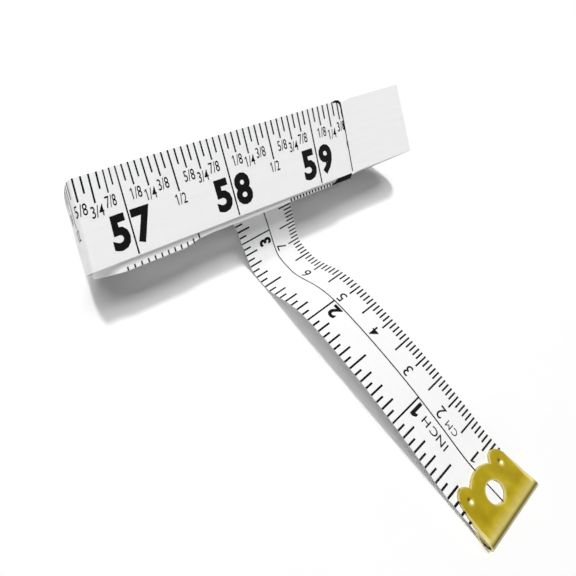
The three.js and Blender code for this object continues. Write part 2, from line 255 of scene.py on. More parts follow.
def linked(name, data):
    obj = bpy.data.objects.new(name, data)
    bpy.context.scene.collection.objects.link(obj)
    return obj


def strip_object(name, rows, marks, material, cut_shade_material):
    grid = np.array(rows, float)
    n, m = grid.shape[:2]
    along = np.gradient(grid, axis=0)
    sideways = np.gradient(grid, axis=1)
    normal = np.cross(along, sideways)
    normal /= np.linalg.norm(normal, axis=2, keepdims=True)
    half = normal * THICK / 2
    verts = np.concatenate([(grid + half).reshape(-1, 3), (grid - half).reshape(-1, 3)]) * MM
    size = n * m

    def at(i, j, layer):
        return layer * size + i * m + j

    faces, edges = [], []
    for i in range(n - 1):
        for j in range(m - 1):
            faces.append((at(i, j, 0), at(i + 1, j, 0), at(i + 1, j + 1, 0), at(i, j + 1, 0)))
            faces.append((at(i, j + 1, 1), at(i + 1, j + 1, 1), at(i + 1, j, 1), at(i, j, 1)))
        edges.append((at(i, 0, 1), at(i + 1, 0, 1), at(i + 1, 0, 0), at(i, 0, 0)))
        edges.append((at(i, m - 1, 0), at(i + 1, m - 1, 0), at(i + 1, m - 1, 1), at(i, m - 1, 1)))
    for j in range(m - 1):
        edges.append((at(0, j, 0), at(0, j + 1, 0), at(0, j + 1, 1), at(0, j, 1)))
        edges.append((at(n - 1, j, 1), at(n - 1, j + 1, 1), at(n - 1, j + 1, 0), at(n - 1, j, 0)))
    mesh = bpy.data.meshes.new(name)
    mesh.from_pydata([tuple(v) for v in verts], [], faces + edges)
    # Faces on the cloth's cut edges take the second material, the grey painted shade.
    mesh.polygons.foreach_set("material_index", [0] * len(faces) + [1] * len(edges))
    layer = mesh.uv_layers.new(name="strip")
    run = np.repeat(np.asarray(marks, float), m)
    wide = np.tile(np.linspace(0, WIDTH, m), n)
    flat = np.stack([np.tile(run, 2), np.tile(wide, 2)], axis=1) * MM
    for loop in mesh.loops:
        layer.data[loop.index].uv = flat[loop.vertex_index]
    mesh.polygons.foreach_set("use_smooth", [True] * len(mesh.polygons))
    mesh.set_sharp_from_angle(angle=SHARP_ANGLE)
    mesh.materials.append(material)
    mesh.materials.append(cut_shade_material)
    mesh.validate()
    mesh.update()
    return linked(name, mesh)


def ink_object(name, shapes, place, material):
    """shapes are (points, triangles) in strip coordinates; place turns a point into the shared frame."""
    verts, faces = [], []
    for points, triangles in shapes:
        base = len(verts)
        verts += [tuple(place(a, v) * MM) for a, v in points]
        faces += [tuple(base + k for k in tri) for tri in triangles]
    mesh = bpy.data.meshes.new(name)
    mesh.from_pydata(verts, [], faces)
    mesh.materials.append(material)
    mesh.validate()
    mesh.update()
    return linked(name, mesh)


# Print, and painted shadows drawn the same way. Shapes are flat (points, triangles) in millimetres.
BAR_STEP = 1.0
GLYPH_RESOLUTION, GLYPH_WELD, GLYPH_EDGE, GLYPH_SPLITS = 3, 1e-5, 0.16, 3
FLAG_RIGHT, FLAG_LEFT, FLAG_TIP_HEIGHT = 0.02, -0.2, 0.84
FLAG_STEM, FLAG_STEM_BOLD, FLAG_ROOT, FLAG_TIP = 0.1, 3.5, 1.2, 0.9


def bar(x0, y0, x1, y1):
    nx, ny = (max(1, math.ceil(abs(size) / BAR_STEP)) for size in (x1 - x0, y1 - y0))
    xs, ys = np.linspace(x0, x1, nx + 1), np.linspace(y0, y1, ny + 1)
    points = [(x, y) for x in xs for y in ys]
    triangles = []
    for i in range(nx):
        for j in range(ny):
            a, b = i * (ny + 1) + j, (i + 1) * (ny + 1) + j
            triangles += [(a, b, b + 1), (a, b + 1, a + 1)]
    return points, triangles


def middle_along(shape):
    return np.mean([p[0] for p in shape[0]])


def coarsest(k, steps):
    """The first of the steps, given from large to small, that divides k."""
    return next(n for n in steps if k % n == 0)


GLYPHS = {}


def glyph(text, bold):
    """Flat outline of a word, one unit tall, with its left foot at the origin."""
    if (text, bold) not in GLYPHS:
        curve = bpy.data.curves.new("glyph", "FONT")
        curve.body = text
        curve.offset = bold
        curve.resolution_u = GLYPH_RESOLUTION
        holder = linked("glyph", curve)
        bpy.context.view_layer.update()
        evaluated = holder.evaluated_get(bpy.context.evaluated_depsgraph_get())
        bm = bmesh.new()
        bm.from_mesh(evaluated.to_mesh())
        bmesh.ops.triangulate(bm, faces=bm.faces[:])
        bmesh.ops.remove_doubles(bm, verts=bm.verts[:], dist=GLYPH_WELD)
        for _ in range(GLYPH_SPLITS):
            long_edges = [e for e in bm.edges if e.calc_length() > GLYPH_EDGE]
            bmesh.ops.subdivide_edges(bm, edges=long_edges, cuts=1)
            bmesh.ops.triangulate(bm, faces=bm.faces[:])
        points = np.array([v.co[:2] for v in bm.verts])
        bm.verts.index_update()
        triangles = [tuple(v.index for v in f.verts) for f in bm.faces]
        bm.free()
        evaluated.to_mesh_clear()
        bpy.data.objects.remove(holder)
        bpy.data.curves.remove(curve)
        low, high = points.min(axis=0), points.max(axis=0)
        GLYPHS[(text, bold)] = ((points - low) / (high[1] - low[1]), triangles)
    return GLYPHS[(text, bold)]


def word(text, tall, origin, right, up, squeeze=1.0, bold=0.0):
    """A word with the middle of its foot at origin, reading along right with its top towards up.

    A leading 1 gets a flag, whose sizes are shares of the height.
    """
    points, triangles = glyph(text, bold)
    wide = points[:, 0].max()
    o, r, u = (np.array(p, float) for p in (origin, right, up))
    points, triangles = list(points), list(triangles)
    if text[0] == "1":
        first = len(points)
        stem = FLAG_STEM + FLAG_STEM_BOLD * bold
        points += [(FLAG_RIGHT, 1.0), (FLAG_RIGHT, 1.0 - FLAG_ROOT * stem)]
        points += [(FLAG_LEFT, FLAG_TIP_HEIGHT - FLAG_TIP * stem), (FLAG_LEFT, FLAG_TIP_HEIGHT)]
        triangles += [(first, first + 2, first + 1), (first, first + 3, first + 2)]
    placed = [tuple(o + r * tall * squeeze * (x - wide / 2) + u * tall * y) for x, y in points]
    return placed, triangles


# Materials
TIP_BANDS_REACH = 3.0
# Painted highlight colour on the brass rims, and painted shade colour in its dents.
PAINTED_RIM_HIGHLIGHT, PAINTED_DENT_SHADE = (0.86, 0.76, 0.36), (0.05, 0.035, 0.004)
MIX_FIRST, MIX_SECOND, MIX_RESULT = 6, 7, 2


def node_material(name):
    material = bpy.data.materials.new(name)
    material.use_nodes = True
    tree = material.node_tree
    return material, tree, tree.nodes["Principled BSDF"]


def ramp(tree, source, stops):
    node = tree.nodes.new("ShaderNodeValToRGB")
    tree.links.new(source, node.inputs["Fac"])
    elements = node.color_ramp.elements
    while len(elements) < len(stops):
        elements.new(0.5)
    for element, (position, colour) in zip(elements, stops):
        element.position = position
        element.color = (*colour, 1)
    return node.outputs["Color"]


def noise(tree, coords, scale, detail=3.0, stretch=(1, 1, 1)):
    mapping = tree.nodes.new("ShaderNodeMapping")
    mapping.inputs["Scale"].default_value = stretch
    tree.links.new(coords, mapping.inputs["Vector"])
    node = tree.nodes.new("ShaderNodeTexNoise")
    node.inputs["Scale"].default_value = scale
    node.inputs["Detail"].default_value = detail
    tree.links.new(mapping.outputs["Vector"], node.inputs["Vector"])
    return node.outputs["Fac"]


def bump(tree, shader, height, strength, distance):
    node = tree.nodes.new("ShaderNodeBump")
    node.inputs["Strength"].default_value = strength
    node.inputs["Distance"].default_value = distance
    tree.links.new(height, node.inputs["Height"])
    tree.links.new(node.outputs["Normal"], shader.inputs["Normal"])


def cloth_material():
    material, tree, shader = node_material("coated_cloth")
    coords = tree.nodes.new("ShaderNodeUVMap")
    coords.uv_map = "strip"
    streaks = noise(tree, coords.outputs["UV"], scale=900, detail=4, stretch=(0.04, 1, 1))
    colour = ramp(tree, streaks, [(0.3, (0.93, 0.935, 0.93)), (0.62, (0.955, 0.96, 0.955))])
    tree.links.new(colour, shader.inputs["Base Color"])
    shader.inputs["Roughness"].default_value = 0.5
    weave = noise(tree, coords.outputs["UV"], scale=2600, detail=2)
    bump(tree, shader, weave, strength=0.12, distance=0.05 * MM)
    return material


# Grey cut edges: painted shade that draws a dark line along every edge of the white tape.
def edge_material():
    material, tree, shader = node_material("cut_edge_painted_shade")
    coords = tree.nodes.new("ShaderNodeTexCoord")
    shade_noise = noise(tree, coords.outputs["Object"], scale=1800)
    colour = ramp(tree, shade_noise, [(0.3, (0.36, 0.36, 0.36)), (0.7, (0.58, 0.58, 0.57))])
    tree.links.new(colour, shader.inputs["Base Color"])
    shader.inputs["Roughness"].default_value = 0.8
    return material


# Black print ink; the same material draws the painted shadows at the cut end and on the slipped turn.
def ink_material():
    material, tree, shader = node_material("print_ink_and_painted_shadow")
    coords = tree.nodes.new("ShaderNodeTexCoord")
    wear = noise(tree, coords.outputs["Object"], scale=3500)
    colour = ramp(tree, wear, [(0.35, (0.002, 0.002, 0.002)), (0.75, (0.007, 0.007, 0.0075))])
    tree.links.new(colour, shader.inputs["Base Color"])
    shader.inputs["Roughness"].default_value = 0.6
    shader.inputs["Specular IOR Level"].default_value = 0.06
    return material


def mixed(tree, factor, first, second):
    """Colour that goes from first to second by factor; second is a fixed colour or a socket."""
    node = tree.nodes.new("ShaderNodeMix")
    node.data_type = "RGBA"
    tree.links.new(factor, node.inputs["Factor"])
    tree.links.new(first, node.inputs[MIX_FIRST])
    if isinstance(second, tuple):
        node.inputs[MIX_SECOND].default_value = (*second, 1)
    else:
        tree.links.new(second, node.inputs[MIX_SECOND])
    return node.outputs[MIX_RESULT]


def brass_material():
    """Brass: golden face with tarnish, painted highlights on the rims and dents, painted shade in the dents,
    and worn bands across the tip with a painted highlight.
    """
    material, tree, shader = node_material("worn_brass_and_painted_light")
    coords = tree.nodes.new("ShaderNodeTexCoord")
    tarnish = noise(tree, coords.outputs["Object"], scale=260, detail=5)
    shades = [(0.3, (0.33, 0.235, 0.005)), (0.55, (0.42, 0.315, 0.009)), (0.8, (0.52, 0.43, 0.05))]
    golden = ramp(tree, tarnish, shades)
    along = tree.nodes.new("ShaderNodeVectorMath")
    along.operation = "DOT_PRODUCT"
    tree.links.new(coords.outputs["Object"], along.inputs[0])
    along.inputs[1].default_value = tuple(HEADING)
    from_tip = tree.nodes.new("ShaderNodeMapRange")
    tree.links.new(along.outputs["Value"], from_tip.inputs["Value"])
    tip = float(tail_point(TAIL, 0.5) @ HEADING) * MM
    from_tip.inputs["From Min"].default_value = tip
    from_tip.inputs["From Max"].default_value = tip - TIP_BANDS_REACH * MM
    # Bands across the tip, worn by rubbing, with a painted highlight along the rounded fold and a darker line
    # across the fold.
    rubbed_and_highlit = [
        (0.0, (0.12, 0.1, 0.05)), (0.1, (0.36, 0.34, 0.2)), (0.2, (0.4, 0.37, 0.2)),
        (0.28, (0.11, 0.08, 0.005)), (0.35, (0.3, 0.24, 0.05)), (0.45, (0.55, 0.47, 0.17)),
        (0.8, (0.5, 0.41, 0.06)),
    ]
    fold_colour = ramp(tree, from_tip.outputs["Result"], rubbed_and_highlit)
    face_share = ramp(tree, from_tip.outputs["Result"], [(0.4, (0, 0, 0)), (1.0, (1, 1, 1))])
    colour = mixed(tree, face_share, fold_colour, golden)
    wear = tree.nodes.new("ShaderNodeUVMap")
    wear.uv_map = "wear"
    parts = tree.nodes.new("ShaderNodeSeparateXYZ")
    tree.links.new(wear.outputs["UV"], parts.inputs["Vector"])
    # Painted highlight on the rims and dents
    colour = mixed(tree, parts.outputs["X"], colour, PAINTED_RIM_HIGHLIGHT)
    # Painted shade in the dents
    colour = mixed(tree, parts.outputs["Y"], colour, PAINTED_DENT_SHADE)
    tree.links.new(colour, shader.inputs["Base Color"])
    shader.inputs["Metallic"].default_value = 1.0
    scratches = noise(tree, coords.outputs["Object"], scale=700, detail=4)
    rough = ramp(tree, scratches, [(0.3, (0.26, 0.26, 0.26)), (0.75, (0.46, 0.46, 0.46))])
    tree.links.new(rough, shader.inputs["Roughness"])
    scuffs = noise(tree, coords.outputs["Object"], scale=1500, detail=5, stretch=(1, 0.25, 1))
    bump(tree, shader, scuffs, strength=0.18, distance=0.06 * MM)
    return material


CLOTH, EDGE_SHADE, INK_AND_SHADOW, BRASS = cloth_material(), edge_material(), ink_material(), brass_material()

# The winding: root of the tail, fold and loops, up to where the outer end's cloth takes over
ROOT_SEAM = 0.5
FLAP_SEAM = FLAP_START - FLAP_LENGTH / 2
crease_length = math.pi * FOLD_RADIUS / math.sin(CREASE)
exit_length = -crease_length - EXIT_AT
rows = [[tail_point(d, c) for c in COLUMNS] for d in (ROOT_SEAM, ROOT_SEAM / 2, 0)]
for k in range(1, FOLD_STEPS):
    rows.append(fold_row(EXIT_AT + exit_length * k / FOLD_STEPS, k / FOLD_STEPS, COLUMNS))
rows += [fold_row(-crease_length * (1 - k / CREASE_STEPS), 1, COLUMNS) for k in range(CREASE_STEPS + 1)]
for k in range(1, FOLD_STEPS):
    rows.append(fold_row((LEAF_START - FOLD_X) * k / FOLD_STEPS, 1 - k / FOLD_STEPS, COLUMNS))
rows += [[winding_point(s, c) for c in COLUMNS] for s in winding_stations(FLAP_SEAM)]
middles = np.array([row[len(COLUMNS) // 2] for row in rows])
winding_run = TAIL - ROOT_SEAM + run_along(middles)
winding = strip_object("winding_cloth", rows, winding_run, CLOTH, EDGE_SHADE)
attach(winding, "winding")
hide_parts("tape_winding")


# The outer end's cloth, in three stretches
def top_point(x, across):
    return winding_point(top_station(x), across)


BEND_ANGLES = np.linspace(math.pi / 2 - BEND_START, 0, BEND_SAMPLES)
bend_path = np.array([winding_point(bend_station(-1, a, TURNS, TURNS - 0.5), 0.5) for a in BEND_ANGLES])
BEND_RUN = run_along(bend_path)


def outer_station(x):
    """Station on the outermost turn; left of the straight run it goes down the left bend."""
    if x >= TOP_LEFT:
        return top_station(x)
    return bend_station(-1, float(np.interp(TOP_LEFT - x, BEND_RUN, BEND_ANGLES)), TURNS, TURNS - 0.5)


def outer_point(x, across):
    return winding_point(outer_station(x), across)


def top_ink(x, v):
    x = min(x, OUTER_END - CUT_MARGIN)
    here = outer_point(x, v / WIDTH)
    ahead = outer_point(x + INK_STEP, v / WIDTH) - outer_point(x - INK_STEP, v / WIDTH)
    width = outer_point(x, 1) - outer_point(x, 0)
    return here + unit(np.cross(ahead, width)) * (THICK / 2 + INK_LIFT)


def inch_x(reading):
    return OUTER_END + (reading - OUTER_END_READING) * INCH


# Path and widths of the painted shadow line along the cut end.
CUT_CORNER = [(-2.7, -0.12), (-1.7, -0.1), (-0.9, -0.3), (-0.4, -0.8), (-0.2, -1.6)]
CUT_LINE_X, CUT_LINE_FROM, CUT_LINE_STEP, CUT_LINE_HALF = -0.16, 2.4, 0.8, 0.16
CUT_SWELL = [
    0.16, 0.3, 0.34, 0.32, 0.3, 0.34, 0.42, 0.3, 0.16,
    0.42, 0.44, 0.24, 0.15, 0.15, 0.18, 0.34, 0.28, 0.16,
]


def cut_outline():
    """Painted shadow: a dark irregular line along the cut end, rounding its far corner, in place of the shade
    under the cut end.
    """
    path = CUT_CORNER + [(CUT_LINE_X, -d) for d in np.arange(CUT_LINE_FROM, WIDTH, CUT_LINE_STEP)]
    middles = np.array([(OUTER_END + x, WIDTH + v) for x, v in path])
    ahead = np.gradient(middles, axis=0)
    sideways = np.stack([-ahead[:, 1], ahead[:, 0]], axis=1) / np.linalg.norm(ahead, axis=1, keepdims=True)
    half = np.array(CUT_SWELL + [CUT_LINE_HALF] * (len(path) - len(CUT_SWELL)))[:, None]
    points = [tuple(p) for pair in zip(middles + sideways * half, middles - sideways * half) for p in pair]
    triangles = []
    for i in range(0, 2 * len(path) - 2, 2):
        triangles += [(i, i + 1, i + 2), (i + 1, i + 3, i + 2)]
    return points, triangles


OUTER_LINE_HALF, OUTER_LINE_FOOT, OUTER_TICK_HALF = 0.18, 0.25, 0.19
OUTER_TICKS = {8: 0.47, 4: 0.305, 2: 0.245, 1: 0.18}
LABEL_TALL, LABEL_GAP, LABEL_SHIFT = 2.3, 0.45, 0.1
DIGIT_TALL, DIGIT_FOOT, DIGIT_SIDE = 7.2, 2.0, 2.75


def outer_print():
    """Painted shadow along the cut end, and the inch scale on the far edge: a tick every sixteenth, a
    fraction at each eighth, bold numbers.
    """
    shapes = [cut_outline()]
    reading, upright = (1, 0), (0, 1)
    for k in range(math.ceil(FIRST_OUTER_READING * 16), math.floor(OUTER_END_READING * 16) + 1):
        x = inch_x(k / 16)
        if k % 16 == 0:
            shapes.append(bar(x - OUTER_LINE_HALF, OUTER_LINE_FOOT, x + OUTER_LINE_HALF, WIDTH))
            continue
        step = coarsest(k, OUTER_TICKS)
        tick_end = WIDTH * (1 - OUTER_TICKS[step])
        shapes.append(bar(x - OUTER_TICK_HALF, tick_end, x + OUTER_TICK_HALF, WIDTH))
        if step >= 2:
            over = math.gcd(k % 16, 16)
            label = f"{k % 16 // over}/{16 // over}"
            foot = (x + LABEL_SHIFT, tick_end - LABEL_GAP - LABEL_TALL)
            shapes.append(word(label, LABEL_TALL, foot, reading, upright, squeeze=0.68, bold=0.006))
    for number in (57, 58, 59):
        x = inch_x(number)
        for digit, side in zip(str(number), (-1, 1)):
            foot = (x + side * DIGIT_SIDE, DIGIT_FOOT)
            shapes.append(word(digit, DIGIT_TALL, foot, reading, upright, squeeze=0.92, bold=0.042))
    return shapes


outer_shapes = outer_print()
for k in range(FLAP_COUNT):
    hinge = FLAP_START + k * FLAP_LENGTH
    start_x = FLAP_SEAM + k * FLAP_LENGTH
    end_x = OUTER_END if k == FLAP_COUNT - 1 else start_x + FLAP_LENGTH
    xs = np.linspace(start_x, end_x, math.ceil((end_x - start_x) / ROW_STEP) + 1)
    cloth = strip_object(
        f"outer_cloth_{k + 1}",
        [[top_point(x, c) for c in COLUMNS] for x in xs],
        OUTER_END_READING * INCH + xs - OUTER_END,
        CLOTH,
        EDGE_SHADE,
    )
    low = -math.inf if k == 0 else start_x
    high = math.inf if k == FLAP_COUNT - 1 else end_x
    shapes = [s for s in outer_shapes if low <= middle_along(s) < high]
    left = [s for s in shapes if middle_along(s) < FLAP_SEAM]
    own = [s for s in shapes if middle_along(s) >= FLAP_SEAM]
    ink = ink_object(f"outer_print_{k + 1}", own, top_ink, INK_AND_SHADOW)
    near, far = (top_point(hinge + d, 0.5) * MM for d in (-BEND_HALF, BEND_HALF))
    for piece in (cloth, ink):
        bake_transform(piece)
    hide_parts(f"outer_end_{k + 1}")
    if left:
        fixed_print = ink_object("winding_print", left, top_ink, INK_AND_SHADOW)
        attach(fixed_print, "winding")


# The tail's cloth, in six stretches
def tail_ink(distance, v):
    point, along, across = tail_frame(distance)
    normal = unit(np.cross(across, along))
    normal = normal if normal[2] > 0 else -normal
    return point + across * (v - WIDTH / 2) + normal * (THICK / 2 + INK_LIFT)


CENTRE_LINE, CENTRE_LINE_HALF, CENTRE_LINE_FROM, CENTRE_LINE_SHORT = 0.52 * WIDTH, 0.15, 0.3, 1.2
TAIL_LINE_HALF, TAIL_TICK_HALF, CM_TICK_HALF, ROOT_MARGIN = 0.18, 0.21, 0.18, 0.6
TAIL_TICKS = {8: 0.31, 4: 0.215, 2: 0.21, 1: 0.12}
CM_TICKS = {10: 0.22, 5: 0.3, 1: 0.14}
FIRST_SIXTEENTH, LAST_SIXTEENTH, FIRST_MM, LAST_MM = 3, 52, 5, 81
INCH_NUMBERS, INCH_NUMBER_TALL, INCH_NUMBER_DROP = {1: 1.2, 2: 1.9, 3: 2.3}, 3.8, 0.5
CM_NUMBERS, CM_NUMBER_TALL, CM_NUMBER_SHIFT, CM_NUMBER_FOOT = 7, 3.0, 0.4, 13.1
INCH_WORD, INCH_WORD_TALL, INCH_WORD_DROP = (15.3, 16.9, 18.9, 21.2), 1.9, 1.4
CM_WORD, CM_WORD_TALL, CM_WORD_FOOT = (16.0, 17.7), 1.6, 12.0


def tail_print():
    """Inches on the near-left edge and centimetres on the other, either side of a centre line."""
    shapes = []
    line_low, line_high = CENTRE_LINE - CENTRE_LINE_HALF, CENTRE_LINE + CENTRE_LINE_HALF
    for d in np.arange(CENTRE_LINE_FROM, TAPE_END - CENTRE_LINE_SHORT, BAR_STEP):
        shapes.append(bar(d, line_low, d + BAR_STEP, line_high))
    for k in range(FIRST_SIXTEENTH, LAST_SIXTEENTH + 1):
        d = TAIL - k / 16 * INCH
        if d < ROOT_MARGIN:
            continue
        if k % 16 == 0:
            shapes.append(bar(d - TAIL_LINE_HALF, 0, d + TAIL_LINE_HALF, CENTRE_LINE))
            continue
        tick = TAIL_TICKS[coarsest(k, TAIL_TICKS)] * WIDTH
        shapes.append(bar(d - TAIL_TICK_HALF, 0, d + TAIL_TICK_HALF, tick))
    for k in range(FIRST_MM, LAST_MM + 1):
        d = TAIL - k
        if d < ROOT_MARGIN:
            continue
        tick_end = WIDTH * (1 - CM_TICKS[coarsest(k, CM_TICKS)])
        shapes.append(bar(d - CM_TICK_HALF, tick_end, d + CM_TICK_HALF, WIDTH))
    back, left = (-1, 0), (0, -1)
    for number, gap in INCH_NUMBERS.items():
        foot = (TAIL - number * INCH + gap, CENTRE_LINE - INCH_NUMBER_DROP)
        shapes.append(word(str(number), INCH_NUMBER_TALL, foot, back, left, squeeze=0.85, bold=0.04))
    for number in range(1, CM_NUMBERS + 1):
        foot = (TAIL - number * 10 - CM_NUMBER_SHIFT, CM_NUMBER_FOOT)
        shapes.append(word(str(number), CM_NUMBER_TALL, foot, back, left, squeeze=0.8, bold=0.004))
    for letter, from_tip in zip("INCH", INCH_WORD):
        foot = (TAIL - from_tip, CENTRE_LINE - INCH_WORD_DROP)
        shapes.append(word(letter, INCH_WORD_TALL, foot, back, left, bold=0.006))
    for letter, from_tip in zip("CM", CM_WORD):
        foot = (TAIL - from_tip, CM_WORD_FOOT)
        shapes.append(word(letter, CM_WORD_TALL, foot, back, left, squeeze=0.9))
    return shapes


SEAM_PAST_BEND = 7.0
tail_shapes = tail_print()
for k in range(TAIL_COUNT):
    hinge = ROOT + k * TAIL_PIECE
    start_d = ROOT_SEAM if k == 0 else hinge - TAIL_PIECE + SEAM_PAST_BEND
    end_d = TAPE_END if k == TAIL_COUNT - 1 else hinge + SEAM_PAST_BEND
    ds = np.linspace(start_d, end_d, math.ceil((end_d - start_d) / ROW_STEP) + 1)
    cloth = strip_object(
        f"tail_cloth_{k + 1}",
        [[tail_point(d, 1 - c) for c in COLUMNS] for d in ds],
        TAIL - ds,
        CLOTH,
        EDGE_SHADE,
    )
    low = -math.inf if k == 0 else start_d
    high = math.inf if k == TAIL_COUNT - 1 else end_d
    shapes = [s for s in tail_shapes if low <= middle_along(s) < high]
    ink = ink_object(f"tail_print_{k + 1}", shapes, tail_ink, INK_AND_SHADOW)
    near, far = (tail_point(hinge + d, 0.5) * MM for d in (-BEND_HALF, BEND_HALF))
    for piece in (cloth, ink):
        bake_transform(piece)
    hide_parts(f"tail_{k + 1}")


# The slipped turn shows ticks along its near edge, and at the right a dark painted shadow under the outer
# end's cut corner
def slipped_ink(x, v):
    return winding_point(top_station(x, TURNS - 1), v / WIDTH) + LEAF_Z * (THICK / 2 + INK_LIFT)


SLIPPED_FOOT = 0.02
LEFT_TICK_HALF, LEFT_TICK, LEFT_TICK_GROWTH = 0.17, 0.8, 0.02
RIGHT_TICK_HALF, RIGHT_TICK, RIGHT_TICKS_FROM, RIGHT_TICKS_TO = 0.2, 0.75, 1.0, 15.5
SHADOW_BAND_FROM, SHADOW_BAND_FULL, SHADOW_BAND_TO, SHADOW_BAND_STEP, SHADOW_BAND_LOW, SHADOW_BAND_RISE = 14.5, 18, 21.9, 0.3, 0.3, 1.2
slipped_shapes = []
for x in np.arange(-HALF + 1, SLIP_LEFT_END + 1, INCH / 16):
    tick = LEFT_TICK + LEFT_TICK_GROWTH * (x + HALF)
    slipped_shapes.append(bar(x - LEFT_TICK_HALF, SLIPPED_FOOT, x + LEFT_TICK_HALF, tick))
for x in np.arange(RIGHT_TICKS_FROM, RIGHT_TICKS_TO, 1.0):
    slipped_shapes.append(bar(x - RIGHT_TICK_HALF, SLIPPED_FOOT, x + RIGHT_TICK_HALF, RIGHT_TICK))
# Painted shadow strip, widening towards the outer end's cut corner, in place of the shade under it.
for x in np.arange(SHADOW_BAND_FROM, SHADOW_BAND_TO, SHADOW_BAND_STEP):
    shadow_band = SHADOW_BAND_LOW + SHADOW_BAND_RISE * smoothstep(x, SHADOW_BAND_FROM, SHADOW_BAND_FULL)
    slipped_shapes.append(bar(x, SLIPPED_FOOT, x + SHADOW_BAND_STEP, shadow_band))
slipped_marks = ink_object("slipped_marks", slipped_shapes, slipped_ink, INK_AND_SHADOW)
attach(slipped_marks, "winding")

# The brass end
CLIP_SHEET, CLIP_PINCH, PINCH_END = 0.3, 0.35, 3.5
CLIP_OFF_CENTRE, CLIP_SKEW = -0.05, 0.05
CLIP_HALF_WIDE, LOBES_HALF_WIDE = 9.15, 8.3
LOBE_RADIUS, LOBE_FROM_TIP = 2.3, 6.85
LOBE_ACROSS = LOBES_HALF_WIDE - LOBE_RADIUS
CROWN_FROM_TIP, CROWN_RADIUS = 9.05, 7.5
HOLE_FROM_TIP, HOLE_HALF_WIDE, HOLE_HALF_LONG, HOLE_SNAP = 4.75, 2.45, 1.75, 1.3
DENT_RADIUS, DENT_DEPTH, DENT_FROM_TIP = 0.75, 0.27, 6.95
# Reach and strength of the painted rim highlight, the painted highlight in the dents, and the painted shade
# in the dents.
RIM_REACH, RIM_HIGHLIGHT, DENT_HIGHLIGHT, DENT_SHADE = 0.1, 0.55, 0.7, 0.9
CLIP_COLUMNS, LEAF_ROWS, LOWER_ROWS, FOLD_ROWS, CLIP_BEVEL = 121, 40, 10, 12, 0.08


def leaf_end(x):
    """How far a leaf reaches from the tip: a shallow middle lobe between two round ones."""
    crown = CROWN_FROM_TIP - CROWN_RADIUS + math.sqrt(max(CROWN_RADIUS**2 - x**2, 0))
    off = abs(x) - LOBE_ACROSS
    lobe = LOBE_FROM_TIP + math.sqrt(LOBE_RADIUS**2 - off**2) if abs(off) <= LOBE_RADIUS else 0
    return max(crown, lobe)


def clip_half(y):
    """Half the clip's width, which draws in along a curve from the tip to the outer lobes."""
    return CLIP_HALF_WIDE + (LOBES_HALF_WIDE - CLIP_HALF_WIDE) * min(y / LOBE_FROM_TIP, 1) ** 2


def clip_profile(share, leaf, t, radius):
    """Point of a leaf (1 upper, -1 lower) or the fold (0), with share -1 to 1 across and t along."""
    if leaf == 0:
        y, z = BRASS_HALF - radius * math.cos(t), radius * math.sin(t)
    else:
        end = leaf_end(share * LOBES_HALF_WIDE)
        y = BRASS_HALF + (end - BRASS_HALF) * t
        z = leaf * (radius - CLIP_PINCH * smoothstep(y, BRASS_HALF, PINCH_END))
    return [share * clip_half(y), y, z]


def hole_share(x, y):
    return math.hypot(x / HOLE_HALF_WIDE, (y - HOLE_FROM_TIP) / HOLE_HALF_LONG)


def dent_distance(x, y):
    return math.hypot(abs(x) - LOBE_ACROSS, y - DENT_FROM_TIP)


